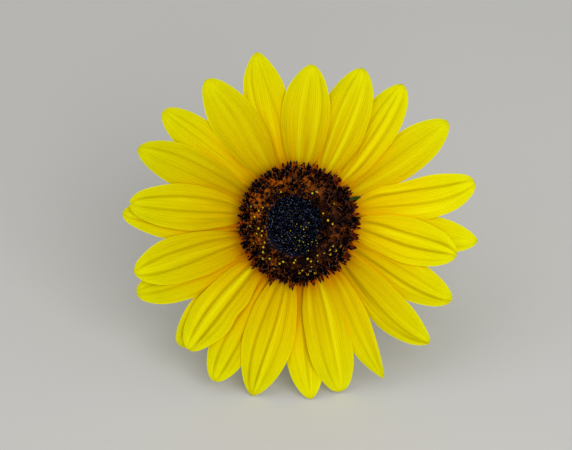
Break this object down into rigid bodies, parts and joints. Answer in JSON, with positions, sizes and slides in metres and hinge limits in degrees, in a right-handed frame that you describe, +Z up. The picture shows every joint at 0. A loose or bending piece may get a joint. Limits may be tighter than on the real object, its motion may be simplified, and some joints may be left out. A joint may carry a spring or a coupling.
{
  "type": "cut sunflower",
  "caption": "Cut sunflower lying on its bent stem, with two layers of yellow petals round a dark brown disc and green bracts behind.",
  "frame": {"origin": "on the table, under the middle of the whole flower's box", "axes": "+X to the flower's right as it is looked at, +Y from the face back along the stem, +Z up"},
  "size_m": [0.143, 0.2119, 0.1152],
  "materials": {
    "petal": "soft satin, finely veined",
    "bract": "matt, finely hairy",
    "disc_bud": "matt",
    "disc_floret": "matt",
    "stem": "matt, hairy"
  },
  "bodies": {
    "root": {"ray_petal_01": "petal", "ray_petal_02": "petal", "ray_petal_03": "petal", "ray_petal_04": "petal", "ray_petal_05": "petal", "ray_petal_06": "petal", "ray_petal_07": "petal", "ray_petal_08": "petal", "ray_petal_09": "petal", "ray_petal_10": "petal", "ray_petal_11": "petal", "ray_petal_12": "petal", "ray_petal_13": "petal", "ray_petal_14": "petal", "ray_petal_15": "petal", "ray_petal_16": "petal", "ray_petal_17": "petal", "ray_petal_18": "petal", "ray_petal_19": "petal", "ray_petal_20": "petal", "ray_petal_21": "petal", "ray_petal_22": "petal", "ray_petal_23": "petal", "ray_petal_24": "petal", "receptacle": "bract", "disc_buds": "disc_bud", "disc_florets": "disc_floret", "stem": "stem"}
  },
  "joints": []
}
